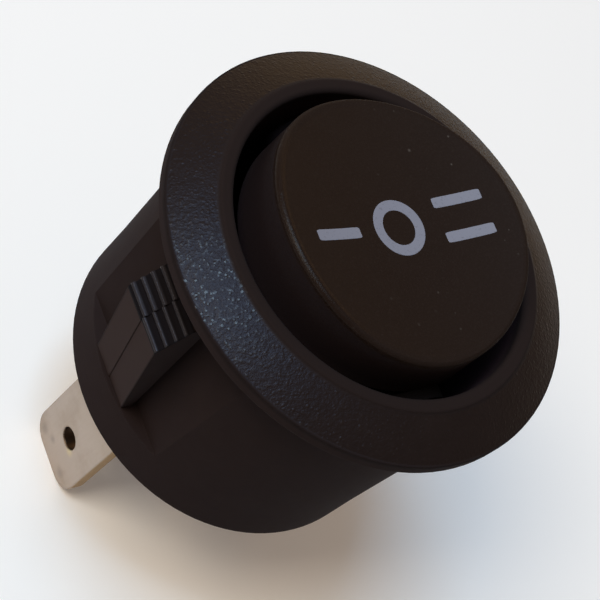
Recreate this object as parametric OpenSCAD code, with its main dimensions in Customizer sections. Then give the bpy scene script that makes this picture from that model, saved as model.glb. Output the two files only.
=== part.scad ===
// Round snap-in rocker switch with three positions: on, off, on.
// Z points out of the face, X runs from the first mark to the second, and the rocker pivots about Y.
// The plane Z = 0 is the front of the panel, and the panel's hole is centred on the origin.

/* [Bezel] */
// Outer diameter of the bezel
bezel_d = 23; // [22.6:0.1:26]
// Height of the bezel's upright edge above the panel
bezel_edge_h = 0.77; // [0.5:0.01:1.1]
// Height of the top of the sloping face
bezel_slope_h = 1.78; // [1.5:0.01:1.85]
// Height of the lip round the opening above the panel
lip_h = 1.9; // [1.88:0.01:2.2]
// Width of the smooth lip round the opening
lip_w = 0.8; // [0.6:0.05:1.1]
// Rounding of the lip's inner edge
lip_round = 0.3; // [0.1:0.05:0.4]
// Rounding of the bezel's outer edges
bezel_round = 0.14; // [0.05:0.01:0.2]

/* [Barrel] */
// Diameter of the ring at the barrel's foot, which pilots the panel's hole
barrel_d = 19.6; // [19:0.1:20.4]
// Widening of the barrel from the ring up to the bezel, in diameter
barrel_draft = 0.4; // [0:0.05:0.5]
// Depth of the barrel behind the panel's front
barrel_depth = 14.2; // [13.8:0.1:17]
// Wall of the barrel's ring round the opening that the rocker swings in
barrel_wall = 1.4; // [1.2:0.05:1.45]
// Depth of the two flats that the latches spring in front of
flat_depth = 1.2; // [0.9:0.05:1.3]
// Height of the full round ring at the barrel's foot
ring_h = 2.9; // [2.5:0.1:3.5]
// Chamfer round the barrel's foot
foot_chamfer = 0.1; // [0.05:0.05:0.5]
// Thickness of the floor that holds the terminals
floor_t = 2; // [1.6:0.1:2.4]
// Thickness of the wall behind each flat
flat_wall = 0.9; // [0.7:0.05:1.1]
// Thickness of the same wall where the rocker swings past it
swing_wall = 0.55; // [0.45:0.05:0.65]

/* [Latches] */
// Width of each latch
latch_w = 3.6; // [3:0.1:4.4]
// How far the latch's crest stands out from the flat
latch_reach = 2.83; // [2.4:0.01:3]
// Depth of the crest behind the panel's front
latch_crest_depth = 3.55; // [3.2:0.05:4.2]
// How far the latch's end stands out from the flat
latch_end_reach = 1.7; // [1.5:0.05:2.1]
// Depth of the latch's end behind the panel's front
latch_end_depth = 1.55; // [1.4:0.05:2.2]
// Thickness of the latch at its end
latch_end_t = 0.85; // [0.6:0.05:1]
// Gap between the latch's root and the flat
latch_root_gap = 0.25; // [0.15:0.05:0.4]
// Distance of the first grip ridge from the crest
ridge_start = 0.16; // [0.12:0.01:0.3]
// Distance of the last grip ridge from the latch's end
ridge_stop = 0.24; // [0.2:0.01:0.4]
// Number of grip ridges
ridge_count = 4; // [3:1:6]
// Height of the grip ridges
ridge_h = 0.13; // [0.08:0.01:0.2]
// Shift between the ridges of the latch's two halves, as a share of their pitch
ridge_stagger = 0.24; // [0:0.02:0.4]
// Step between the latch's two halves along the mould's parting line
parting_step = 0.05; // [0.02:0.01:0.08]

/* [Rocker] */
// Gap between the rocker's face and the wall of the opening
rocker_gap = 1.15; // [1:0.05:1.3]
// Widening of the rocker's wall from the face to the skirt's edge, in diameter
rocker_draft = 0.2; // [0.05:0.05:0.3]
// Height of the middle of the face above the panel
face_h = 3.1; // [2.9:0.05:3.4]
// Radius of the dish in the face
dish_r = 26; // [22:0.5:40]
// Rounding of the rim between the face and the wall
rim_round = 0.3; // [0.15:0.05:0.4]
// Thickness of the face at its middle
face_t = 1.4; // [1.1:0.1:1.6]
// Thickness of the skirt
skirt_t = 1.1; // [0.9:0.1:1.3]
// Height of the skirt's edge above the panel
skirt_h = 0.1; // [0:0.05:0.3]
// Tilt of the rocker to each side, in degrees
tilt = 11; // [8:0.5:11]
// Depth of the pivot behind the panel's front
pivot_depth = 1.5; // [1.4:0.05:1.7]
// Diameter of the trunnions
trunnion_d = 2.4; // [2:0.1:2.6]
// Radial clearance of the trunnions in their sockets
trunnion_gap = 0.05; // [0.03:0.01:0.09]
// Length of the trunnions past the hubs
trunnion_l = 1.2; // [1:0.05:1.25]
// Wall of the hub round each trunnion's root
hub_wall = 0.6; // [0.5:0.05:0.8]
// Gap between the hubs and the wall of the opening
hub_gap = 0.28; // [0.25:0.02:0.35]
// Thickness of the cheeks that carry the hubs
cheek_t = 1.5; // [1.2:0.1:1.8]

/* [Plunger and spring] */
// Diameter of the spring socket in the rocker
socket_d = 3.2; // [3:0.1:3.6]
// Wall of the post round the socket
socket_wall = 0.8; // [0.6:0.05:1]
// Length of the post below the pivot
post_l = 1.9; // [1.5:0.1:2.2]
// Radial clearance of the plunger in the socket
plunger_gap = 0.05; // [0.03:0.01:0.09]
// Length of the plunger held inside the socket
plunger_held = 1.6; // [1.4:0.1:2]
// Length of the plunger's thick part outside the socket
plunger_collar = 1.8; // [1.5:0.1:2.2]
// Diameter of the plunger's round tip
tip_d = 1.6; // [1.4:0.1:1.9]
// Diameter of the spring's wire
wire_d = 0.36; // [0.3:0.02:0.42]
// Gap between the spring and the socket
spring_gap = 0.15; // [0.1:0.05:0.25]
// Number of turns of the spring
spring_turns = 6; // [5:1:7]

/* [Contact bar] */
// Thickness of the contact bar
bar_t = 0.6; // [0.5:0.05:0.7]
// Width of the contact bar
bar_w = 4.2; // [4:0.1:4.6]
// Width of the bar's waist between the horns of the common terminal
waist_w = 3; // [2.8:0.1:3.2]
// Half length of the waist
waist_l = 1; // [0.95:0.05:1.2]
// Depth of the trough in the bar's middle
trough_depth = 0.6; // [0.5:0.05:0.7]
// Distance of the contacts from the outer blades
contact_inset = 1.2; // [1:0.05:1.5]
// Bar left outside each contact's centre
bar_end = 1.3; // [1.25:0.05:1.4]
// Gap between the plunger's tip and the bar
tip_gap = 0.08; // [0.05:0.01:0.15]
// Gap between the bar and the edge it rocks on
fulcrum_gap = 0.03; // [0.02:0.01:0.06]

/* [Contacts] */
// Diameter of the contact faces
contact_d = 2.4; // [2:0.1:2.5]
// Radius of the moving contacts' domed faces
dome_r = 3; // [2.8:0.1:4]
// Height of the moving contacts' heads
moving_h = 0.5; // [0.45:0.05:0.6]
// Height of the fixed contacts' heads
fixed_h = 0.45; // [0.35:0.05:0.6]
// Diameter of the rivets' shanks
shank_d = 1.2; // [1:0.1:1.4]
// Radial clearance of the shanks in their holes
shank_gap = 0.03; // [0.02:0.01:0.05]
// Diameter of the moving contacts' peened ends
peen_d = 1.9; // [1.7:0.1:2.1]
// Height of the moving contacts' peened ends
peen_h = 0.25; // [0.15:0.05:0.3]
// Gap left between the contacts at the end of the tilt
contact_rest = 0.05; // [0.03:0.01:0.1]

/* [Terminals] */
// Width of the blades
blade_w = 4.8; // [4:0.1:5.4]
// Thickness of the blades
blade_t = 0.8; // [0.6:0.05:0.9]
// Length of the blades below the floor
blade_l = 10.4; // [8:0.1:12]
// Gap between the outer blades and the walls behind the flats
terminal_gap = 0.3; // [0.2:0.05:0.5]
// Rounding of the corners at the blades' tips
blade_corner = 1.4; // [0.6:0.1:1.6]
// Diameter of the wire hole
wire_hole_d = 1.4; // [1.2:0.1:1.8]
// Distance of the wire hole from the tip
wire_hole_up = 3.2; // [2.6:0.1:4]
// Length of the outer terminals' feet inside the floor's edge
foot_l = 3; // [2.8:0.1:3.2]
// Clearance of the blades in the floor's slots
slot_gap = 0.05; // [0.03:0.01:0.1]
// Width of the shoulders by which the common terminal sits on the floor
shoulder = 0.35; // [0.3:0.05:0.5]
// Height of the horns beside the contact bar
horn_h = 1.5; // [1.3:0.1:1.7]
// Clearance between the horns and the bar's waist
horn_gap = 0.15; // [0.1:0.05:0.25]

/* [Hidden] */
$fn = 96;

arc_steps = 6;
rim_over = 8;
dish_facets = 360;
cut_past = 1;
sunk = 0.4;

bezel_r = bezel_d / 2;
barrel_r = barrel_d / 2;
open_r = barrel_r - barrel_wall;
lip_step = lip_h - bezel_slope_h;
step_round = lip_step * 1.8;
flat_x = barrel_r - flat_depth;
floor_z = floor_t - barrel_depth;
ledge_z = ring_h - barrel_depth;

pivot_z = -pivot_depth;
rocker_r = open_r - rocker_gap;
skirt_r = rocker_r + rocker_draft / 2;
trunnion_r = trunnion_d / 2;
hub_r = trunnion_r + hub_wall;
hub_y = sqrt(open_r ^ 2 - hub_r ^ 2) - hub_gap;
trunnion_end = hub_y + trunnion_l;
socket_end_gap = 0.2;
ceiling_z = face_h - face_t;
wall_top = dish_z(rocker_r) + sunk;
wall_lean = atan((skirt_r - rocker_r) / (wall_top - skirt_h));
rim_bite = rim_round / 10;

// The lowered edge of the skirt swings past the walls down to this depth
swing_gap = 0.6;
swing_z = pivot_z - skirt_r * sin(tilt) + (skirt_h - pivot_z) * cos(tilt) - swing_gap;

blade_pitch = flat_x - flat_wall - terminal_gap - blade_t / 2;
contact_x = blade_pitch - contact_inset;
blade_tip_z = -barrel_depth - blade_l;
wire_hole_z = blade_tip_z + wire_hole_up;
foot_top = floor_z + blade_t;
fixed_top = foot_top + fixed_h;

// Heights in the contact bar are counted from the axis of the edge that it rocks on
fulcrum_r = blade_t / 2;
trough_under = fulcrum_r + fulcrum_gap;
trough_top = trough_under + bar_t;
arm_under = trough_under + trough_depth;
arm_top = arm_under + bar_t;
dome_c = arm_under - moving_h + dome_r;
dome_low = dome_c * cos(tilt) - contact_x * sin(tilt) - dome_r;
fulcrum_z = fixed_top + contact_rest - dome_low;

// The trough follows the plunger's round tip as rocker and bar tilt against each other
tip_r = tip_d / 2;
tip_c = trough_top + tip_gap + tip_r;
tip_c_z = fulcrum_z + tip_c;
tip_arm = pivot_z - tip_c_z;
tip_limit = [tip_arm * sin(tilt), pivot_z - tip_arm * cos(tilt) - fulcrum_z];
tip_side = tip_limit.x * cos(tilt) - tip_limit.y * sin(tilt);
tip_rise = tip_limit.x * sin(tilt) + tip_limit.y * cos(tilt) - tip_c;
trough_r = (tip_side ^ 2 + tip_rise ^ 2) / (2 * tip_rise) + tip_r + tip_gap;
bar_half = contact_x + bar_end;
bar_corner = 0.8;

socket_r = socket_d / 2;
post_r = socket_r + socket_wall;
post_z = pivot_z - post_l;
plunger_r = socket_r - plunger_gap;
plunger_top = post_z + plunger_held;
collar_z = post_z - plunger_collar;
taper_z = collar_z - (plunger_r - tip_r);
wire_r = wire_d / 2;
coil_r = socket_r - spring_gap - wire_r;
spigot_r = coil_r - wire_r - spring_gap;
spigot_h = 0.8;
spring_seat_gap = 0.02;

shank_r = shank_d / 2;
contact_r = contact_d / 2;
horn_y = waist_w / 2 + horn_gap;
shoulder_y = blade_w / 2 + shoulder;

function xy(p) = [p.x, p.y];
function unit(v) = v / norm(v);
function wrap(a) = a > 180 ? a - 360 : a < -180 ? a + 360 : a;
function polar(c, r, a) = c + r * [cos(a), sin(a)];
function heading(from, to) = atan2(to.y - from.y, to.x - from.x);

// The arc of radius r that rounds the corner p between its neighbours a and b
function fillet(a, p, b, r) =
  let (u = unit(a - p), v = unit(b - p), half = acos(u * v) / 2)
  let (centre = p + unit(u + v) * r / sin(half), reach = r / tan(half))
  let (start = heading(centre, p + u * reach), turn = wrap(heading(centre, p + v * reach) - start))
  [for (i = [0 : arc_steps]) polar(centre, r, start + turn * i / arc_steps)];

// An outline from corners given as [x, y, rounding]
function rounded(corners) =
  let (n = len(corners))
  [for (i = [0 : n - 1]) each
    corners[i].z == 0
    ? [xy(corners[i])]
    : fillet(xy(corners[(i + n - 1) % n]), xy(corners[i]), xy(corners[(i + 1) % n]), corners[i].z)];

// Height of the dished face at a distance x from the pivot plane, and of the rocker's wall at a height z
function dish_z(x) = face_h + dish_r - sqrt(dish_r ^ 2 - x ^ 2);
function wall_r(z) = skirt_r + (rocker_r - skirt_r) * (z - skirt_h) / (wall_top - skirt_h);

// What comes off the rim, in the plane through Z at the angle a: all that lies past an arc in its corner.
// The arc turns from the wall's normal to the face's, and a little further at both ends.
function rim_section(a) =
  let (z = dish_z(rocker_r * cos(a)), corner = [wall_r(z), z])
  let (slope = atan(cos(a) * tan(asin(corner.x * cos(a) / dish_r))), turn = 90 + slope - wall_lean)
  let (inward = 180 + wall_lean + turn / 2, depth = rim_round / cos(turn / 2) - rim_bite)
  let (centre = polar(corner, depth, inward), past = [rocker_r + cut_past, z + cut_past])
  let (start = wall_lean - rim_over, sweep = turn + 2 * rim_over)
  let (arc = [for (i = [0 : arc_steps]) polar(centre, rim_round, start + sweep * i / arc_steps)])
  concat(arc, [[arc[arc_steps].x, past.y], past, [past.x, arc[0].y]]);

// A flat outline in X and Z, given depth along Y, centred on the pivot plane
module along_y(depth) rotate([90, 0, 0]) linear_extrude(height = depth, center = true) children();

// A flat outline in Y and Z, given thickness along X
module along_x(depth) rotate([90, 0, 90]) linear_extrude(height = depth, center = true) children();

module rod_y(r, length) rotate([90, 0, 0]) cylinder(r = r, h = length, center = true);

module both_sides() {
  children();
  mirror([1, 0, 0]) children();
}

// Bezel, barrel wall and floor, turned about Z in one profile
module turned_shell() {
  rotate_extrude()
    polygon(rounded([
      [0, -barrel_depth, 0],
      [barrel_r - foot_chamfer, -barrel_depth, 0],
      [barrel_r, foot_chamfer - barrel_depth, 0],
      [barrel_r, ledge_z, 0],
      [barrel_r + barrel_draft / 2, 0, 0],
      [bezel_r, 0, bezel_round],
      [bezel_r, bezel_edge_h, bezel_round],
      [open_r + lip_w, bezel_slope_h, step_round],
      [open_r + lip_w - lip_step, lip_h, step_round],
      [open_r, lip_h, lip_round],
      [open_r, floor_z, 0],
      [0, floor_z, 0]
    ]));
}

// The straight walls inside the barrel, behind the flats
module flat_walls() {
  both_sides() intersection() {
    translate([0, 0, floor_z - sunk]) cylinder(r = open_r + sunk, h = -floor_z + sunk);
    along_y(barrel_d) polygon([
      [barrel_r, floor_z - sunk],
      [flat_x - flat_wall, floor_z - sunk],
      [flat_x - flat_wall, swing_z],
      [flat_x - swing_wall, swing_z + flat_wall - swing_wall],
      [flat_x - swing_wall, 0],
      [barrel_r, 0]
    ]);
  }
}

module flat_cuts() {
  both_sides() translate([flat_x, -barrel_r, ledge_z]) cube([barrel_d, barrel_d, -ledge_z]);
}

// One half of a latch: a tongue that springs from the ring, ramps out to its crest and
// comes back in over the grip ridges
module latch_half(stagger, proud) {
  root_x = sqrt(barrel_r ^ 2 - (latch_w / 2) ^ 2) - parting_step * 2;
  crest = [flat_x + latch_reach + proud, -latch_crest_depth];
  end = [flat_x + latch_end_reach + proud, -latch_end_depth];
  pitch = (norm(end - crest) - ridge_start - ridge_stop) / (ridge_count - 1 + ridge_stagger);
  way = unit(end - crest);
  out = [-way.y, way.x] * (way.y > 0 ? -1 : 1);
  foot = min(0.27, ridge_start / pitch);
  ridge = [[-foot, 0], [-foot / 3, 1], [foot / 3, 1], [foot, 0]];
  along_y(latch_w / 2) polygon(concat(
    [[flat_x + latch_root_gap, ledge_z - sunk], [root_x, ledge_z - sunk], [root_x + proud, ledge_z], crest],
    [for (i = [0 : ridge_count - 1]) for (p = ridge)
      crest + way * (ridge_start + pitch * (i + stagger + p.x)) + out * ridge_h * p.y],
    [end, [end.x - latch_end_t, end.y]]
  ));
}

module latch() {
  translate([0, latch_w / 4, 0]) latch_half(ridge_stagger, parting_step);
  translate([0, -latch_w / 4, 0]) latch_half(0, 0);
}

module housing() {
  color("#1c1917") {
    difference() {
      union() {
        turned_shell();
        flat_walls();
      }
      flat_cuts();
      translate([0, 0, pivot_z]) rod_y(trunnion_r + trunnion_gap, 2 * (trunnion_end + socket_end_gap));
      for (i = [-1 : 1])
        translate([i * blade_pitch, 0, floor_z - floor_t / 2])
          cube([blade_t + 2 * slot_gap, blade_w + 2 * slot_gap, floor_t + cut_past], center = true);
    }
    both_sides() latch();
  }
}

// The flat outline of a blade from the height top down to its rounded tip
module blade_outline(top) {
  half = blade_w / 2;
  difference() {
    polygon(rounded([
      [-half, top, 0],
      [-half, blade_tip_z, blade_corner],
      [half, blade_tip_z, blade_corner],
      [half, top, 0]
    ]));
    translate([0, wire_hole_z]) circle(d = wire_hole_d);
  }
}

// An outer terminal: a blade up through the floor, bent inwards to a foot that lies on the floor
module outer_terminal() {
  outer_x = blade_pitch + blade_t / 2;
  inner_x = blade_pitch - blade_t / 2;
  translate([blade_pitch, 0, 0]) along_x(blade_t) blade_outline(floor_z + blade_t / 2);
  difference() {
    along_y(blade_w) polygon(rounded([
      [inner_x, floor_z - blade_t, 0],
      [outer_x, floor_z - blade_t, 0],
      [outer_x, foot_top, blade_t / 2],
      [inner_x - foot_l, foot_top, 0],
      [inner_x - foot_l, floor_z, 0],
      [inner_x, floor_z, 0]
    ]));
    translate([contact_x, 0, floor_z - cut_past])
      cylinder(r = shank_r + shank_gap, h = blade_t + 2 * cut_past);
  }
}

module terminal_1() { color("#cdc6ba") mirror([1, 0, 0]) outer_terminal(); }

module terminal_2() { color("#cdc6ba") outer_terminal(); }

// The middle terminal: its top edge is the fulcrum, between two horns that keep the bar in place
module common_terminal() {
  color("#cdc6ba") {
    along_x(blade_t) {
      blade_outline(floor_z + blade_t / 2);
      translate([-shoulder_y, floor_z]) square([2 * shoulder_y, fulcrum_z - floor_z]);
      for (side = [-1, 1])
        translate([side * (horn_y + shoulder_y) / 2, fulcrum_z + horn_h / 2])
          square([shoulder_y - horn_y, horn_h + 2 * sunk], center = true);
    }
    translate([0, 0, fulcrum_z]) rod_y(fulcrum_r, horn_y + shoulder_y);
  }
}

module fixed_contact() {
  bevel = fixed_h / 4;
  translate([contact_x, 0, 0]) rotate_extrude() polygon([
    [0, floor_z],
    [shank_r, floor_z],
    [shank_r, foot_top],
    [contact_r, foot_top],
    [contact_r, fixed_top - bevel],
    [contact_r - bevel, fixed_top],
    [0, fixed_top]
  ]);
}

module fixed_contact_1() { color("#d9d7d2") mirror([1, 0, 0]) fixed_contact(); }

module fixed_contact_2() { color("#d9d7d2") fixed_contact(); }

// A formed strip with a trough across its middle, a waist between the horns and a rivet hole at each end
module contact_bar() {
  color("#b8733f") translate([0, 0, fulcrum_z]) difference() {
    intersection() {
      along_y(bar_w) difference() {
        union() {
          translate([-bar_half, arm_under]) square([2 * bar_half, bar_t]);
          intersection() {
            translate([0, trough_top + trough_r]) circle(r = trough_r + bar_t);
            translate([-bar_half, 0]) square([2 * bar_half, arm_top]);
          }
        }
        translate([0, trough_top + trough_r]) circle(r = trough_r);
      }
      linear_extrude(height = arm_top + cut_past) bar_plan();
    }
    for (side = [-1, 1])
      translate([side * contact_x, 0, 0]) cylinder(r = shank_r + shank_gap, h = arm_top + cut_past);
  }
}

module bar_plan() {
  difference() {
    polygon(rounded([
      [-bar_half, -bar_w / 2, bar_corner],
      [bar_half, -bar_w / 2, bar_corner],
      [bar_half, bar_w / 2, bar_corner],
      [-bar_half, bar_w / 2, bar_corner]
    ]));
    for (side = [-1, 1])
      translate([0, side * (waist_w + bar_w) / 2]) square([2 * waist_l, bar_w], center = true);
  }
}

// A rivet with a domed face under the bar and a peened end on top
module moving_contact() {
  translate([contact_x, 0, fulcrum_z]) {
    intersection() {
      translate([0, 0, dome_c]) sphere(r = dome_r);
      translate([0, 0, arm_under - moving_h]) cylinder(r = contact_r, h = moving_h);
    }
    translate([0, 0, arm_under - moving_h / 2]) cylinder(r = shank_r, h = bar_t + moving_h / 2 + peen_h / 2);
    translate([0, 0, arm_top]) cylinder(r1 = peen_d / 2, r2 = shank_r, h = peen_h);
  }
}

module moving_contact_1() { color("#d9d7d2") mirror([1, 0, 0]) moving_contact(); }

module moving_contact_2() { color("#d9d7d2") moving_contact(); }

// A stepped pin with a round tip below and a spigot inside the spring above
module plunger() {
  color("#e3ddcc") {
    rotate_extrude() polygon([
      [0, tip_c_z],
      [tip_r, tip_c_z],
      [tip_r, taper_z],
      [plunger_r, collar_z],
      [plunger_r, plunger_top],
      [spigot_r, plunger_top],
      [spigot_r, plunger_top + spigot_h],
      [0, plunger_top + spigot_h]
    ]);
    translate([0, 0, tip_c_z]) sphere(r = tip_r);
  }
}

// A tube of wire swept along a helix, with a flat end at each side
module helix_wire(coil, wire, bottom, height, turns) {
  sides = 8;
  per_turn = 24;
  rings = turns * per_turn;
  points = [for (i = [0 : rings]) for (k = [0 : sides - 1])
    let (turn = 360 * i / per_turn, around = 360 * k / sides, r = coil + wire * cos(around))
    [r * cos(turn), r * sin(turn), bottom + height * i / rings + wire * sin(around)]];
  walls = [for (i = [0 : rings - 1]) for (k = [0 : sides - 1])
    let (a = i * sides + k, b = i * sides + (k + 1) % sides)
    each [[a, b + sides, b], [a, a + sides, b + sides]]];
  ends = [[for (k = [0 : sides - 1]) k], [for (k = [sides - 1 : -1 : 0]) rings * sides + k]];
  polyhedron(points = points, faces = concat(walls, ends));
}

module plunger_spring() {
  seat = plunger_top + spring_seat_gap + wire_r;
  height = ceiling_z - spring_seat_gap - wire_r - seat;
  color("#a9adb0") helix_wire(coil_r, wire_r, seat, height, spring_turns);
}

// The cheeks, hubs and trunnions that the rocker swings on
module rocker_hinge() {
  cheek_out = sqrt(rocker_r ^ 2 - hub_r ^ 2);
  for (side = [-1, 1])
    translate([0, side * (cheek_out - cheek_t / 2), (pivot_z + ceiling_z + sunk) / 2])
      cube([2 * hub_r, cheek_t, ceiling_z + sunk - pivot_z], center = true);
  translate([0, 0, pivot_z]) difference() {
    union() {
      rod_y(hub_r, 2 * hub_y);
      rod_y(trunnion_r, 2 * trunnion_end);
    }
    rod_y(hub_r + cut_past, 2 * (cheek_out - cheek_t));
  }
}

// A ring with the rim's changing section, turned about Z
module rim_cut() {
  around = 96;
  sections = [for (i = [0 : around - 1]) rim_section(360 * i / around)];
  n = len(sections[0]);
  points = [for (i = [0 : around - 1]) for (p = sections[i])
    [p.x * cos(360 * i / around), p.x * sin(360 * i / around), p.y]];
  faces = [for (i = [0 : around - 1]) for (k = [0 : n - 1])
    let (j = (i + 1) % around, m = (k + 1) % n)
    each [[i * n + k, j * n + m, i * n + m], [i * n + k, j * n + k, j * n + m]]];
  polyhedron(points = points, faces = faces);
}

// A hollow cap with a dished face, a post for the spring, ribs and the hinge
module rocker() {
  rib_t = 1;
  inner_r = rocker_r - skirt_t;
  color("#1b1816") difference() {
    union() {
      difference() {
        translate([0, 0, skirt_h]) cylinder(r1 = skirt_r, r2 = rocker_r, h = wall_top - skirt_h);
        translate([0, 0, skirt_h - cut_past]) cylinder(r = inner_r, h = ceiling_z - skirt_h + cut_past);
      }
      translate([0, 0, post_z]) cylinder(r = post_r, h = ceiling_z + sunk - post_z);
      translate([0, 0, (skirt_h + ceiling_z + sunk) / 2]) {
        cube([2 * inner_r + sunk, rib_t, ceiling_z + sunk - skirt_h], center = true);
        cube([rib_t, 2 * inner_r + sunk, ceiling_z + sunk - skirt_h], center = true);
      }
      rocker_hinge();
    }
    translate([0, 0, post_z - cut_past]) cylinder(r = socket_r, h = ceiling_z - post_z + cut_past);
    translate([0, 0, face_h + dish_r]) rod_y(dish_r, 2 * (rocker_r + cut_past), $fn = dish_facets);
    rim_cut();
  }
}

housing();
terminal_1();
terminal_2();
common_terminal();
fixed_contact_1();
fixed_contact_2();
contact_bar();
moving_contact_1();
moving_contact_2();
plunger();
plunger_spring();
rocker();
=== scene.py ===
import math

import bmesh
import bpy
import numpy as np
from mathutils import Matrix, Vector


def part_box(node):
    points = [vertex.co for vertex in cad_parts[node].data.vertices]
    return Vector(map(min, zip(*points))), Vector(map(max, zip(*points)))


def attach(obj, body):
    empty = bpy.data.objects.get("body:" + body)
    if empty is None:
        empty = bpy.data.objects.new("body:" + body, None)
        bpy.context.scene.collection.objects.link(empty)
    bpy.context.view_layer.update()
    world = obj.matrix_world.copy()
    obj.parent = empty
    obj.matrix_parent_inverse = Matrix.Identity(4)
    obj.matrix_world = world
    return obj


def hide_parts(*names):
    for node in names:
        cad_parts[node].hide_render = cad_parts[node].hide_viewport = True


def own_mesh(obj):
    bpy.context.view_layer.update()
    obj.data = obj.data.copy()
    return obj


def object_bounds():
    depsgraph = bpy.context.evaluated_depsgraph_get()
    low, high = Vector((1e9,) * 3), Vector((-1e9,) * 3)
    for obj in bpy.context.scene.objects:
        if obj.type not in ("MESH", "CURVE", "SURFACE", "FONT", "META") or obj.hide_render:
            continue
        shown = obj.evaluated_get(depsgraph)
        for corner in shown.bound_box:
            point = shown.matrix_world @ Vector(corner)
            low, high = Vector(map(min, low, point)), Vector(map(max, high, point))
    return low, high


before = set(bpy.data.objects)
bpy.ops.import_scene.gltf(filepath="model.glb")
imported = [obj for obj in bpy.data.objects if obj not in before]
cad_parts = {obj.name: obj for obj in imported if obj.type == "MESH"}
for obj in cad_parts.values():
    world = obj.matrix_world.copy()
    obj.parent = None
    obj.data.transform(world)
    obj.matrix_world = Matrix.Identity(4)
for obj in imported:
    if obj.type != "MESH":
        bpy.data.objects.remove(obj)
cad_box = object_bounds()

# Housing
# One moulding in black polyamide: bezel, barrel and the two sprung latches come out of the same tool.
# The tool is spark-eroded to a coarse grain on the bezel's slope, and smoother on its lip and the barrel.

millimetre = 0.001


def add_node(tree, kind, sockets=None, **settings):
    """Adds a shader node with its settings; each socket takes a plain value or another node's output."""
    made = tree.nodes.new(kind)
    for name, value in settings.items():
        setattr(made, name, value)
    for name, value in (sockets or {}).items():
        socket = made.inputs[name]
        if isinstance(value, bpy.types.NodeSocket):
            tree.links.new(value, socket)
        else:
            socket.default_value = (*value, 1) if socket.type == "RGBA" else value
    return made


def maths(tree, operation, *terms):
    """One step of arithmetic on values that change over the surface."""
    return add_node(tree, "ShaderNodeMath", dict(enumerate(terms)), operation=operation).outputs[0]


def fade(tree, value, start, end):
    """Rises smoothly from 0 to 1 as the value goes from start to end, whichever of them is larger."""
    limits = {"Value": value, "From Min": start, "From Max": end}
    return add_node(tree, "ShaderNodeMapRange", limits, interpolation_type="SMOOTHSTEP").outputs["Result"]


def between(tree, share, low, high):
    """The value that lies a share of the way from low to high."""
    return maths(tree, "MULTIPLY_ADD", share, high - low, low)


def tint(tree, share, plain, other):
    """Goes from the plain colour to the other one as the share goes from 0 to 1."""
    return add_node(tree, "ShaderNodeMix", {0: share, 6: plain, 7: other}, data_type="RGBA").outputs[2]


def part_tint(tree, mask, most, plain, other):
    """Goes towards the other colour where the mask is 1, but only by the share given as the most."""
    return tint(tree, maths(tree, "MULTIPLY", mask, most), plain, other)


def noise(tree, place, scale, detail=2, roughness=0.5):
    """Cloudy noise from 0 to 1, with so many clouds to the millimetre."""
    sockets = {"Vector": place, "Scale": scale, "Detail": detail, "Roughness": roughness}
    return add_node(tree, "ShaderNodeTexNoise", sockets).outputs[0]


def in_millimetres(tree):
    """Places on the piece, counted in millimetres from the switch's origin."""
    here = add_node(tree, "ShaderNodeTexCoord").outputs["Object"]
    return add_node(tree, "ShaderNodeMapping", {"Vector": here, "Scale": (1 / millimetre,) * 3}).outputs[0]


def axes_of(tree, vector):
    """The X, Y and Z of a place or direction."""
    return add_node(tree, "ShaderNodeSeparateXYZ", {"Vector": vector}).outputs


def vectors(tree, operation, *terms, gives="Vector"):
    """One step of arithmetic on places or directions."""
    made = add_node(tree, "ShaderNodeVectorMath", dict(enumerate(terms)), operation=operation)
    return made.outputs[gives]


def away(tree, place, centre, along):
    """How far a place is from a centre, counting only the axes that have a 1."""
    offset = vectors(tree, "MULTIPLY", vectors(tree, "SUBTRACT", place, centre), along)
    return vectors(tree, "LENGTH", offset, gives="Value")


def bumped(tree, relief, normal):
    """The normal turned by a relief whose heights are in millimetres."""
    sockets = {"Height": relief, "Distance": millimetre, "Normal": normal}
    return add_node(tree, "ShaderNodeBump", sockets).outputs[0]


def start_effect(name, takes, gives):
    """An empty node group with named sockets; returns it with the sockets inside that give and take."""
    group = bpy.data.node_groups.new(name, "ShaderNodeTree")
    for way, sockets in (("INPUT", takes), ("OUTPUT", gives)):
        for title, kind in sockets.items():
            group.interface.new_socket(title, in_out=way, socket_type="NodeSocket" + kind)
    return group, group.nodes.new("NodeGroupInput").outputs, group.nodes.new("NodeGroupOutput").inputs


def use_effect(tree, group, **sockets):
    """Places an effect in a material with its own values."""
    return add_node(tree, "ShaderNodeGroup", sockets, node_tree=group).outputs


def start_finish(name, **sockets):
    """A new material with the constant values of its shader; returns it with its tree and its shader."""
    finish = bpy.data.materials.new(name)
    finish.use_nodes = True
    shader = finish.node_tree.nodes["Principled BSDF"]
    for socket, value in sockets.items():
        shader.inputs[socket.replace("_", " ")].default_value = value
    return finish, finish.node_tree, shader


def dress(finish, *nodes):
    """Gives CAD nodes their finish in place of the plain colour that they were packed with."""
    for name in nodes:
        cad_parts[name].material_slots[0].material = finish


# Lumps left by spark erosion: domes of chance height, so many millimetres apart, on rolling ground
# The glint mask marks the crests of both, which are the first to be polished by handling
dome_reach, ground_height, ground_glint = 0.5, 1.8, 0.4
spark_grain, takes, gives = start_effect(
    "spark_grain", {"Place": "Vector", "Pitch": "Float"}, {"Height": "Float", "Glint": "Float"})
density = maths(spark_grain, "DIVIDE", 1, takes["Pitch"])
cells = add_node(spark_grain, "ShaderNodeTexVoronoi", {"Vector": takes["Place"], "Scale": density})
chance = axes_of(spark_grain, cells.outputs["Color"])["X"]
domes = maths(spark_grain, "MULTIPLY", fade(spark_grain, cells.outputs["Distance"], dome_reach, 0), chance)
ground = noise(spark_grain, takes["Place"], density, 3, 0.6)
spark_grain.links.new(maths(spark_grain, "MULTIPLY_ADD", ground, ground_height, domes), gives["Height"])
crests = maths(spark_grain, "MULTIPLY_ADD", fade(spark_grain, ground, 0.48, 0.66), ground_glint, domes)
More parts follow.
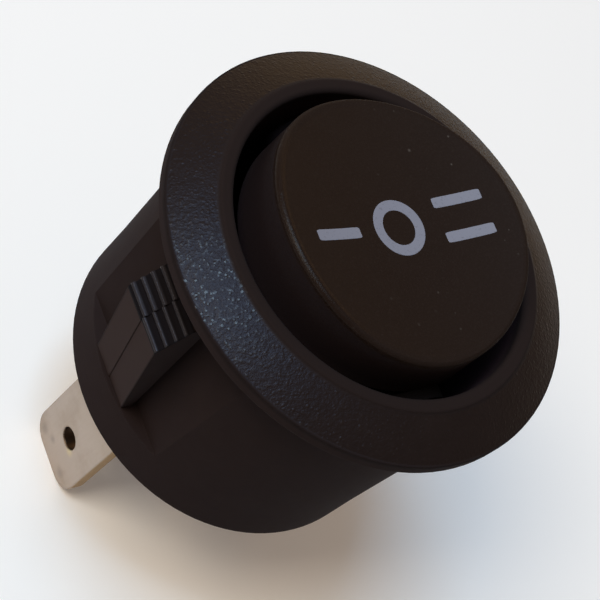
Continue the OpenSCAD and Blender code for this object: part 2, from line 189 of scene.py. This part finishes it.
spark_grain.links.new(fade(spark_grain, crests, 0.18, 0.75), gives["Glint"])

# Edges as moulding and barrelling leave them: normals rounded over a radius, and a mask of where that is
soft_edges, takes, gives = start_effect(
    "soft_edges", {"Radius": "Float"}, {"Normal": "Vector", "Edge": "Float"})
rounded = add_node(soft_edges, "ShaderNodeBevel", {"Radius": takes["Radius"]}, samples=6).outputs["Normal"]
straight = add_node(soft_edges, "ShaderNodeNewGeometry").outputs["Normal"]
alike = vectors(soft_edges, "DOT_PRODUCT", rounded, straight, gives="Value")
soft_edges.links.new(rounded, gives["Normal"])
soft_edges.links.new(fade(soft_edges, alike, 0.995, 0.85), gives["Edge"])

# Places on the moulding, in millimetres, and the width over which one finish gives way to the next
blend_w = 0.1
moulded_edge_r = 0.08
bezel_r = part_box("housing")[1].y / millimetre
lip_outer_r, opening_r, slope_foot = 9.2, 8.4, 0.72
lip_from, lip_to = 1.3, 1.7
dark_from, dark_to = 1.6, 0.9
crown_r, crown_fall = 10.35, 0.045
flat_x = 8.8
latch_half_w, latch_end_z, ledge_z = 1.75, -1.4, -11.3
latch_crest, grip_out = (11.43, 0, 3.55), (0.871, 0, -0.492)
grip_from, grip_to, ridge_h = -0.12, -0.04, 0.13
grain_pitch, grain_depth = 0.21, 0.019
skin_pitch, skin_depth = 0.08, 0.003
handled_side, handled_from, handled_to = (-0.94, -0.34, 0), 3.5, 9

# Colours of the plastic, which is palest on the latch ramp, rubbed there and painted lighter as painted
# light, and how dull or polished it is
bezel_black, bezel_grey = (0.0120, 0.0073, 0.0062), (0.0165, 0.0105, 0.0090)
# The lip's paler colour is painted light, standing in for warm light that falls on the lip
lip_painted_light = (0.0175, 0.0110, 0.0092)
barrel_black, barrel_grey = (0.0222, 0.0142, 0.0133), (0.0292, 0.0192, 0.0181)
# The ramp's pale grey is partly rubbing and partly painted light
rubbed_and_lit_grey, edge_grey, edge_wear = (0.0540, 0.0375, 0.0360), (0.030, 0.025, 0.025), 0.2
# The grooves' near-black is painted shade, and the ridge tops' grey is partly wear and partly painted
# highlight
groove_painted_shade_black, ridge_worn_and_lit_grey = (0.0070, 0.0052, 0.0058), (0.030, 0.026, 0.029)
# Painted light and shade deep in the opening: lighter walls and darker upward faces
inside_wall_painted_light, inside_ledge_painted_shade = (0.0300, 0.0150, 0.0165), (0.0048, 0.0030, 0.0034)
dull, slope_polish, ridge_polish = (0.90, 1.0), -0.56, -0.66

moulding, tree, shader = start_finish(
    "black_moulding", Specular_IOR_Level=0.17, Specular_Tint=(0.66, 0.76, 1, 1),
    Coat_Roughness=0.2, Coat_IOR=1.27)
shader.distribution = "GGX"
place = in_millimetres(tree)
height = axes_of(tree, place)["Z"]
across = away(tree, place, (0, 0, 0), (1, 1, 0))
edges = use_effect(tree, soft_edges, Radius=moulded_edge_r * millimetre)

# Where the bezel slopes, where its lip is, where light and shade are painted deep in the opening and where
# the barrel starts
slope = maths(tree, "MULTIPLY", fade(tree, across, lip_outer_r - blend_w, lip_outer_r + 1.5 * blend_w),
              fade(tree, across, bezel_r - 0.2 * blend_w, bezel_r - 1.5 * blend_w))
slope = maths(tree, "MULTIPLY", slope, fade(tree, height, slope_foot - blend_w, slope_foot + blend_w))
lip = maths(tree, "MULTIPLY", fade(tree, across, lip_outer_r + blend_w, lip_outer_r - blend_w),
            fade(tree, height, lip_from, lip_to))
opening_painted_light_and_shade = maths(tree, "MULTIPLY", fade(tree, across, opening_r + blend_w, opening_r),
               fade(tree, height, dark_from, dark_to))
as_moulded = fade(tree, height, slope_foot - 0.5 * blend_w, slope_foot - 3 * blend_w)

# How far a place stands out from the grip face, both latches folded on to one, and the ramp that is rubbed
# and painted lighter as painted light
folded = vectors(tree, "SUBTRACT", vectors(tree, "ABSOLUTE", place), latch_crest)
proud = vectors(tree, "DOT_PRODUCT", folded, grip_out, gives="Value")
on_latch = maths(tree, "MULTIPLY", fade(tree, height, latch_end_z + 2 * blend_w, latch_end_z),
                 fade(tree, height, ledge_z, ledge_z + blend_w))
grooves_painted_shade = maths(tree, "MULTIPLY", on_latch, fade(tree, proud, grip_from, grip_to))
ridges = maths(tree, "MULTIPLY", on_latch, fade(tree, proud, 0.3 * ridge_h, ridge_h))
from_pivot_plane = away(tree, place, (0, 0, 0), (1, 0, 0))
beyond_flat = fade(tree, from_pivot_plane, flat_x + blend_w, flat_x + 4 * blend_w)
from_latch_middle = away(tree, place, (0, 0, 0), (0, 1, 0))
latch_face = fade(tree, from_latch_middle, latch_half_w, latch_half_w - 0.6 * blend_w)
ramp_rubbed_and_lit = maths(tree, "MULTIPLY", maths(tree, "MULTIPLY", on_latch, beyond_flat), latch_face)

# Coarse grain and a slight crown on the slope, over a fine skin everywhere
coarse = use_effect(tree, spark_grain, Place=place, Pitch=grain_pitch)
fine = use_effect(tree, spark_grain, Place=place, Pitch=skin_pitch)["Height"]
relief = maths(tree, "MULTIPLY", maths(tree, "MULTIPLY", coarse["Height"], slope), grain_depth)
relief = maths(tree, "MULTIPLY_ADD", fine, skin_depth, relief)
from_crown = maths(tree, "SUBTRACT", across, crown_r)
crown = maths(tree, "MULTIPLY", maths(tree, "MULTIPLY", from_crown, from_crown), -crown_fall)
relief = maths(tree, "MULTIPLY_ADD", crown, slope, relief)
tree.links.new(bumped(tree, relief, edges["Normal"]), shader.inputs["Normal"])

# The grain's crests are polished on the side of the bezel that is handled most
toward_hand = vectors(tree, "DOT_PRODUCT", place, handled_side, gives="Value")
handled = fade(tree, toward_hand, handled_from, handled_to)
polish = maths(tree, "MULTIPLY", maths(tree, "MULTIPLY", slope, coarse["Glint"]), handled)
tree.links.new(polish, shader.inputs["Coat Weight"])

clouds = noise(tree, place, 0.9, 4, 0.6)
colour = tint(tree, clouds, bezel_black, bezel_grey)
# The lip is painted paler: painted light
colour = tint(tree, lip, colour, lip_painted_light)
colour = tint(tree, as_moulded, colour, tint(tree, clouds, barrel_black, barrel_grey))
# The latch ramp is paler: partly rubbed, partly painted light
colour = tint(tree, ramp_rubbed_and_lit, colour, rubbed_and_lit_grey)
colour = part_tint(tree, edges["Edge"], edge_wear, colour, edge_grey)
# The grip face and the grooves between the ridges are darkened: painted shade
colour = tint(tree, grooves_painted_shade, colour, groove_painted_shade_black)
# The ridge tops are paler: partly worn, partly painted highlight
colour = tint(tree, ridges, colour, ridge_worn_and_lit_grey)
# Deep in the opening the walls are painted lighter as painted light and the upward faces darker as painted
# shade
facing_up = fade(tree, axes_of(tree, edges["Normal"])["Z"], 0.4, 0.9)
colour = tint(tree, opening_painted_light_and_shade, colour, tint(tree, facing_up, inside_wall_painted_light, inside_ledge_painted_shade))
tree.links.new(colour, shader.inputs["Base Color"])
satin = between(tree, noise(tree, place, 2.5, 3), *dull)
satin = maths(tree, "MULTIPLY_ADD", slope, slope_polish, satin)
satin = maths(tree, "MULTIPLY_ADD", ridges, ridge_polish, satin)
tree.links.new(satin, shader.inputs["Roughness"])
dress(moulding, "housing")

# Blade terminals
# Brass strip, tin plated before it is stamped, so its flat faces are satin tin and its cut edges brass.
# Each blade is pushed up through its slot in the floor; the outer two are then bent over inside.

barrel_end_z = -14.2
wire_hole_z, wire_hole_r = -21.4, 0.7
# A bright gold spot on the wire hole's lower rim is a painted glint
glint_at, glint_r = (0, -0.57, -21.9), 0.5
smudges = (((0, 1.57, -23.75), 0.55), ((0, -1.22, -23.84), 0.5), ((0, 0.7, -23.3), 0.4))
stamped_edge_r, line_depth = 0.22, 0.003
upright_strip = (1, 1, 0.06)

tin_bright, tin_dull, tin_painted_shade = (0.48, 0.40, 0.34), (0.42, 0.34, 0.275), (0.40, 0.32, 0.24)
painted_glint_gold, smudge_grey = (0.68, 0.57, 0.32), (0.22, 0.19, 0.17)
cut_brass, hole_painted_shade = (0.36, 0.24, 0.11), (0.10, 0.07, 0.05)
tin_rough = (0.38, 0.55)

# Fine lines drawn along the strip by the rolls, and the cloudy stains of handling
rolled_strip, takes, gives = start_effect(
    "rolled_strip", {"Place": "Vector", "Along": "Vector"}, {"Lines": "Float", "Stain": "Float"})
drawn = vectors(rolled_strip, "MULTIPLY", takes["Place"], takes["Along"])
rolled_strip.links.new(noise(rolled_strip, drawn, 9, 3, 0.7), gives["Lines"])
stain = fade(rolled_strip, noise(rolled_strip, takes["Place"], 0.5, 4, 0.55), 0.4, 0.75)
rolled_strip.links.new(stain, gives["Stain"])

tin_plate, tree, shader = start_finish("tin_plate", Metallic=1)
place = in_millimetres(tree)
strip = use_effect(tree, rolled_strip, Place=place, Along=upright_strip)
edges = use_effect(tree, soft_edges, Radius=stamped_edge_r * millimetre)
cut_face = fade(tree, maths(tree, "ABSOLUTE", axes_of(tree, edges["Normal"])["X"]), 0.9, 0.2)
from_hole = away(tree, place, (0, 0, wire_hole_z), (0, 1, 1))
hole_wall = maths(tree, "MULTIPLY", cut_face, fade(tree, from_hole, wire_hole_r + 0.15, wire_hole_r))
hole_rim_glint = fade(tree, away(tree, place, glint_at, (0, 1, 1)), glint_r, 0)
# Towards the barrel the tin is painted darker and warmer: painted shade next to the barrel
near_barrel = fade(tree, axes_of(tree, place)["Z"], wire_hole_z + 1, barrel_end_z - 2)
colour = tint(tree, strip["Stain"], tin_bright, tin_dull)
colour = part_tint(tree, near_barrel, 0.5, colour, tin_painted_shade)
# The gold spot at the hole's rim is a painted glint
colour = part_tint(tree, hole_rim_glint, 0.7, colour, painted_glint_gold)
for centre, reach in smudges:
    smudge = fade(tree, away(tree, place, centre, (0, 1, 1)), reach, 0)
    colour = part_tint(tree, smudge, 0.4, colour, smudge_grey)
colour = part_tint(tree, cut_face, 0.85, colour, cut_brass)
# The wire hole's wall is painted dark brown: painted shade inside the hole
colour = tint(tree, hole_wall, colour, hole_painted_shade)
tree.links.new(colour, shader.inputs["Base Color"])
tree.links.new(between(tree, strip["Lines"], *tin_rough), shader.inputs["Roughness"])
relief = maths(tree, "MULTIPLY", strip["Lines"], line_depth)
tree.links.new(bumped(tree, relief, edges["Normal"]), shader.inputs["Normal"])
dress(tin_plate, "terminal_1", "terminal_2", "common_terminal")

# Contacts
# Rivets of silver alloy: two are set in the feet of the outer terminals and two in the ends of the bar.
# Their faces are bright metal with patches of tarnish.

silver_bright, silver_tarnished = (0.80, 0.79, 0.76), (0.52, 0.47, 0.38)
silver_rough = (0.2, 0.38)

silver, tree, shader = start_finish("contact_silver", Metallic=1)
place = in_millimetres(tree)
tarnish = fade(tree, noise(tree, place, 1.5, 4), 0.45, 0.75)
tree.links.new(tint(tree, tarnish, silver_bright, silver_tarnished), shader.inputs["Base Color"])
tree.links.new(between(tree, noise(tree, place, 6, 3), *silver_rough), shader.inputs["Roughness"])
dress(silver, "fixed_contact_1", "fixed_contact_2", "moving_contact_1", "moving_contact_2")

# Contact bar
# A strip of bare copper alloy, stamped and formed with a trough, that rocks on the common terminal's edge.
# The rolls leave fine lines along it, and it is stained brown in patches.

copper_bright, copper_brown = (0.70, 0.42, 0.22), (0.42, 0.22, 0.12)
copper_rough = (0.25, 0.45)
lying_strip = (0.06, 1, 1)

copper, tree, shader = start_finish("rolled_copper", Metallic=1)
place = in_millimetres(tree)
strip = use_effect(tree, rolled_strip, Place=place, Along=lying_strip)
tree.links.new(tint(tree, strip["Stain"], copper_bright, copper_brown), shader.inputs["Base Color"])
tree.links.new(between(tree, strip["Lines"], *copper_rough), shader.inputs["Roughness"])
dress(copper, "contact_bar")

# Plunger spring
# Music wire, cold coiled, standing in the socket under the rocker's face round the plunger's spigot.
# Its upper end stays under the face and the lower one rises with the plunger; here the coil is fixed to
# the rocker.

wire_r, spring_turns = 0.18, 6
spring_low, spring_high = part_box("plunger_spring")
spring_foot, spring_head = spring_low.z / millimetre, spring_high.z / millimetre
coil_r = spring_high.x / millimetre - wire_r
wire_dark, wire_bright = (0.46, 0.46, 0.47), (0.62, 0.62, 0.63)
wire_rough = (0.25, 0.4)


def coiled_wire(foot, head, around=16, per_turn=48):
    """A round section carried up a helix: out from the coil's radius by the cosine of the angle round the
    section and up by its sine, with the section drawn in to a point at each end."""
    climb = np.linspace(0, 1, spring_turns * per_turn + 1)
    climb = np.concatenate([[0], climb, [1]])[:, None]
    thickness = np.full(climb.shape, wire_r)
    thickness[[0, -1]] = 0
    turn = 2 * np.pi * spring_turns * climb
    section = np.linspace(0, 2 * np.pi, around, endpoint=False)[None, :]
    r = coil_r + thickness * np.cos(section)
    z = foot + wire_r + (head - foot - 2 * wire_r) * climb + thickness * np.sin(section)
    return np.stack([r * np.cos(turn), r * np.sin(turn), z], axis=-1)


def grid_faces(rows, columns, closed_rows):
    """Quads between neighbours in a grid whose columns close on themselves, and its rows if asked."""
    starts = np.arange(rows if closed_rows else rows - 1)
    row, column = np.meshgrid(starts, np.arange(columns), indexing="ij")
    below, right = (row + 1) % rows, (column + 1) % columns
    corners = [(row, column), (below, column), (below, right), (row, right)]
    return np.stack([r * columns + c for r, c in corners], axis=-1).reshape(-1, 4)


def surface_mesh(name, sheets):
    """One mesh in metres from grids of points in millimetres, its poles merged and its faces outwards."""
    points, faces, count = [], [], 0
    for grid, closed_rows in sheets:
        points.append(grid.reshape(-1, 3))
        faces.append(grid_faces(*grid.shape[:2], closed_rows) + count)
        count += grid.shape[0] * grid.shape[1]
    mesh = bpy.data.meshes.new(name)
    mesh.from_pydata(np.concatenate(points) * millimetre, [], np.concatenate(faces).tolist())
    closed = bmesh.new()
    closed.from_mesh(mesh)
    bmesh.ops.remove_doubles(closed, verts=closed.verts, dist=1e-4 * millimetre)
    bmesh.ops.recalc_face_normals(closed, faces=closed.faces)
    closed.to_mesh(mesh)
    closed.free()
    return mesh


spring = bpy.data.objects.new("coil_spring", surface_mesh("coil_spring", [
    (coiled_wire(spring_foot, spring_head), False),
]))
bpy.context.scene.collection.objects.link(spring)
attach(spring, "rocker")
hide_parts("plunger_spring")

wire, tree, shader = start_finish("drawn_wire", Metallic=1)
place = in_millimetres(tree)
colour = tint(tree, noise(tree, place, 4, 3), wire_dark, wire_bright)
tree.links.new(colour, shader.inputs["Base Color"])
tree.links.new(between(tree, noise(tree, place, 12, 2), *wire_rough), shader.inputs["Roughness"])
spring.data.materials.append(wire)
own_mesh(spring)

# Plunger
# A pin moulded in natural acetal, with a round tip that the spring pushes down on the contact bar.
# Its spigot stands in the spring, and it slides in the socket under the rocker's face.

acetal_cream, acetal_pale = (0.80, 0.77, 0.68), (0.86, 0.83, 0.75)
acetal_rough = (0.28, 0.4)

acetal, tree, shader = start_finish("natural_acetal", Specular_IOR_Level=0.45)
place = in_millimetres(tree)
colour = tint(tree, noise(tree, place, 1.2, 3), acetal_cream, acetal_pale)
tree.links.new(colour, shader.inputs["Base Color"])
tree.links.new(between(tree, noise(tree, place, 5, 2), *acetal_rough), shader.inputs["Roughness"])
dress(acetal, "plunger")

# Rocker
# A black polyamide cap with a fine matt face, moulded with its skirt, trunnions and spring socket.
# Its trunnions are sprung into the housing's sockets. The rim is smoothest at the single mark's end.

face_mid_z, dish_r, rocker_r, rim_w = 3.1, 26, 7.25, 0.35
face_pitch, face_depth, rim_depth = 0.07, 0.004, 0.009
deep_from, deep_to = 0.9, 0.3
speck_pitch, speck_size, speck_share = 0.5, 0.13, 0.28
speck_least, speck_most = 0.15, 0.75

face_black, face_brown = (0.0132, 0.0074, 0.0054), (0.0160, 0.0092, 0.0069)
grit_grey, speck_grey, skirt_painted_reflection = (0.0185, 0.0115, 0.0092), (0.10, 0.09, 0.08), (0.0150, 0.0104, 0.0118)
# Painted light on the deep walls and painted shade on the deep upward faces
deep_wall_painted_light, deep_ledge_painted_shade = (0.0180, 0.0114, 0.0132), (0.0032, 0.0020, 0.0023)
matt, rim_dull, rim_polish, deep_dull = (0.54, 0.62), 0.12, -0.30, 0.35

# Soft specks that lie in some of the cells of a grid so wide, each of up to the given size
pale_specks, takes, gives = start_effect(
    "pale_specks", {"Place": "Vector", "Pitch": "Float", "Size": "Float", "Share": "Float"},
    {"Mask": "Float"})
density = maths(pale_specks, "DIVIDE", 1, takes["Pitch"])
cells = add_node(pale_specks, "ShaderNodeTexVoronoi", {"Vector": takes["Place"], "Scale": density})
chance = axes_of(pale_specks, cells.outputs["Color"])
widest = maths(pale_specks, "DIVIDE", takes["Size"], takes["Pitch"])
reach = maths(pale_specks, "MULTIPLY", widest, chance["Y"])
speck = fade(pale_specks, cells.outputs["Distance"], reach, 0)
held = maths(pale_specks, "LESS_THAN", chance["X"], takes["Share"])
pale_specks.links.new(maths(pale_specks, "MULTIPLY", speck, held), gives["Mask"])

matt_cap, tree, shader = start_finish("matt_cap", Specular_IOR_Level=0.1)
place = in_millimetres(tree)
axes = axes_of(tree, place)
across = away(tree, place, (0, 0, 0), (1, 1, 0))
edges = use_effect(tree, soft_edges, Radius=moulded_edge_r * millimetre)

# How far a place lies below the dished face, then the rim, the skirt and what is deep in the gap, where
# light and shade are painted
dish = maths(tree, "MULTIPLY_ADD", maths(tree, "MULTIPLY", axes["X"], axes["X"]), 0.5 / dish_r, face_mid_z)
below_face = maths(tree, "SUBTRACT", dish, axes["Z"])
outer = fade(tree, across, rocker_r - rim_w - 0.15, rocker_r - rim_w)
rim = maths(tree, "MULTIPLY", outer, fade(tree, below_face, rim_w + 0.1, rim_w - 0.05))
skirt = maths(tree, "MULTIPLY", outer, fade(tree, below_face, rim_w - 0.05, rim_w + 0.2))
deep = fade(tree, axes["Z"], deep_from, deep_to)

fine = use_effect(tree, spark_grain, Place=place, Pitch=face_pitch)["Height"]
relief = maths(tree, "MULTIPLY", fine, between(tree, rim, face_depth, rim_depth))
tree.links.new(bumped(tree, relief, edges["Normal"]), shader.inputs["Normal"])

clouds = noise(tree, place, 0.6, 4, 0.6)
grit = fade(tree, noise(tree, place, 9, 2, 0.6), 0.45, 0.75)
colour = tint(tree, clouds, face_black, face_brown)
colour = tint(tree, grit, colour, grit_grey)
specks = use_effect(
    tree, pale_specks, Place=place, Pitch=speck_pitch, Size=speck_size, Share=speck_share)["Mask"]
# Pale specks on the face, stronger towards +X
speck_strength = between(tree, fade(tree, axes["X"], -3, 5), speck_least, speck_most)
colour = part_tint(tree, specks, speck_strength, colour, speck_grey)
# The skirt's purplish tint is a painted reflection of the light that falls on it
colour = tint(tree, skirt, colour, skirt_painted_reflection)
# Deep in the gap the walls are painted lighter as painted light and the upward faces darker as painted
# shade
facing_up = fade(tree, axes_of(tree, edges["Normal"])["Z"], 0.2, 0.8)
colour = tint(tree, deep, colour, tint(tree, facing_up, deep_wall_painted_light, deep_ledge_painted_shade))
tree.links.new(colour, shader.inputs["Base Color"])
polish = between(tree, fade(tree, axes["X"], -3.5, -6.5), rim_dull, rim_polish)
satin = maths(tree, "MULTIPLY_ADD", rim, polish, between(tree, clouds, *matt))
satin = maths(tree, "MULTIPLY_ADD", deep, deep_dull, satin)
tree.links.new(satin, shader.inputs["Roughness"])
dress(matt_cap, "rocker")

# Position marks
# A bar, a ring and two bars in pale ink, pad printed on the rocker's dished face and riding on it.
# The ink is about two hundredths of a millimetre thick, and darker in the places where it is worn.

ink_half = 0.012
ring_x, ring_inner_r, ring_outer_r = -0.08, 0.94, 1.51
bar_w = 0.58
one_from, one_to = -5.45, -2.59
two_from, two_to, two_y = 2.5, 5.43, 0.96
section_power = 0.3
ink_pale, ink_worn = (0.215, 0.225, 0.285), (0.15, 0.155, 0.195)
ink_rough = (0.5, 0.65)


def face_z(x):
    """Height of the dished face: a cylinder along Y whose lowest line is at the middle."""
    return face_mid_z + dish_r - np.sqrt(dish_r**2 - x**2)


def square_wave(angle, power):
    """Cosine and sine of the angle, each to a small power with its sign kept: a nearly square circle."""
    cos, sin = np.cos(angle), np.sin(angle)
    return np.sign(cos) * np.abs(cos) ** power, np.sign(sin) * np.abs(sin) ** power


def ink_ring(middle, inner, outer, around=144, section=16):
    """A nearly square section, as wide as the ring and as thick as the ink, carried round on the face."""
    turn = np.linspace(0, 2 * np.pi, around, endpoint=False)[:, None]
    angle = np.linspace(0, 2 * np.pi, section, endpoint=False)[None, :]
    side, up = square_wave(angle, section_power)
    r = (inner + outer) / 2 + side * (outer - inner) / 2
    x, y = middle + r * np.cos(turn), r * np.sin(turn)
    return np.stack([x, y, face_z(x) + ink_half * up], axis=-1)


def ink_bar(start, end, y, around=24, along=48, squareness=10):
    """A nearly square section carried from start to end, its size following a squared-off ellipse, so that
    it comes to a point at both ends."""
    reach = np.sin(np.linspace(-np.pi / 2, np.pi / 2, along))[:, None]
    size = (1 - np.abs(reach) ** squareness) ** (1 / squareness)
    angle = np.linspace(0, 2 * np.pi, around, endpoint=False)[None, :]
    side, up = square_wave(angle, section_power)
    x = (start + end) / 2 + reach * (end - start) / 2 + 0 * side
    return np.stack([x, y + size * side * bar_w / 2, face_z(x) + size * up * ink_half], axis=-1)


marks = bpy.data.objects.new("position_marks", surface_mesh("position_marks", [
    (ink_bar(one_from, one_to, 0), False),
    (ink_ring(ring_x, ring_inner_r, ring_outer_r), True),
    (ink_bar(two_from, two_to, two_y), False),
    (ink_bar(two_from, two_to, -two_y), False),
]))
bpy.context.scene.collection.objects.link(marks)
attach(marks, "rocker")

ink, tree, shader = start_finish("pale_ink", Specular_IOR_Level=0.3)
place = in_millimetres(tree)
worn = fade(tree, noise(tree, place, 6, 4, 0.7), 0.56, 0.7)
tree.links.new(tint(tree, worn, ink_pale, ink_worn), shader.inputs["Base Color"])
tree.links.new(between(tree, noise(tree, place, 4, 3), *ink_rough), shader.inputs["Roughness"])
marks.data.materials.append(ink)

# Studio
# A plain sheet at the blades' ends, white round the switch and pale beige far off, takes the shadow.
# A cool soft box hangs overhead and a warm one high at the left, with weak warm ones behind and at the
# right, under an even dim sky.

sheet_half, beige_from, beige_to = 900, 70, 200
sheet_white, sheet_beige, sheet_bounce = (0.94, 0.94, 0.94), (0.86, 0.71, 0.53), (0.20, 0.20, 0.20)
glow_near, glow_far, no_glow = (0.10, 0.10, 0.10), (0.04, 0.03, 0.02), (0, 0, 0)
sky_colour = (0.21, 0.155, 0.115)
lamp_distance = 700
lens_mm, sensor_mm, clip_end_m = 95.9, 36, 10
camera_at = Vector((-50.73, -21.88, 57.67))
heading, dip, roll = math.radians(23.82), math.radians(49.06), math.radians(49.62)

floor_z = cad_box[0].z / millimetre
corners = np.array([(-1.0, -1.0), (1.0, -1.0), (1.0, 1.0), (-1.0, 1.0)]) * sheet_half
floor_mesh = bpy.data.meshes.new("floor")
floor_mesh.from_pydata(np.insert(corners, 2, floor_z, axis=1) * millimetre, [], [(0, 1, 2, 3)])
floor = bpy.data.objects.new("floor", floor_mesh)
bpy.context.scene.collection.objects.link(floor)

# The sheet is pale where it is seen, straight or in a reflection, and throws little light on the switch
paper, tree, shader = start_finish("white_paper", Roughness=0.9, Specular_IOR_Level=0, Emission_Strength=1)
path = add_node(tree, "ShaderNodeLightPath").outputs
seen = maths(tree, "MAXIMUM", path["Is Camera Ray"], path["Is Glossy Ray"])
seen = maths(tree, "MAXIMUM", seen, path["Is Transmission Ray"])
far_off = fade(tree, away(tree, in_millimetres(tree), (0, 0, 0), (1, 1, 0)), beige_from, beige_to)
colour = tint(tree, seen, sheet_bounce, tint(tree, far_off, sheet_white, sheet_beige))
tree.links.new(colour, shader.inputs["Base Color"])
glow = tint(tree, seen, no_glow, tint(tree, far_off, glow_near, glow_far))
tree.links.new(glow, shader.inputs["Emission Color"])
floor.data.materials.append(paper)


def soft_box(name, toward, size, level, colour):
    """A square lamp in a direction from the switch; a white sheet facing it would render at that level."""
    lamp = bpy.data.lights.new(name, "AREA")
    lamp.size = size * millimetre
    lamp.energy = level * (math.pi * lamp_distance * millimetre) ** 2
    lamp.color = colour
    placed = bpy.data.objects.new(name, lamp)
    placed.location = Vector(toward).normalized() * lamp_distance * millimetre
    placed.rotation_euler = Vector(toward).to_track_quat("Z", "Y").to_euler()
    bpy.context.scene.collection.objects.link(placed)


soft_box("overhead_box", (-0.20, 0.20, 0.96), 250, 0.54, (0.50, 0.75, 1.0))
soft_box("side_box", (-0.58, 0.20, 0.79), 300, 0.53, (1.0, 0.88, 0.72))
soft_box("rear_box", (0.60, 0.74, 0.28), 360, 0.08, (1.0, 0.60, 0.22))
soft_box("right_box", (0.93, 0.28, 0.20), 220, 0.025, (1.0, 0.55, 0.20))

sky = bpy.data.worlds.new("sky")
sky.use_nodes = True
sky.node_tree.nodes["Background"].inputs["Color"].default_value = (*sky_colour, 1)
bpy.context.scene.world = sky

camera_data = bpy.data.cameras.new("camera")
camera_data.lens, camera_data.sensor_width = lens_mm, sensor_mm
camera_data.clip_start, camera_data.clip_end = millimetre, clip_end_m
camera = bpy.data.objects.new("camera", camera_data)
turned = Matrix.Rotation(heading - math.pi / 2, 4, "Z") @ Matrix.Rotation(math.pi / 2 - dip, 4, "X")
camera.matrix_world = Matrix.Translation(camera_at * millimetre) @ turned @ Matrix.Rotation(roll, 4, "Z")
bpy.context.scene.collection.objects.link(camera)
bpy.context.scene.camera = camera
bpy.context.scene.view_settings.view_transform = "Standard"
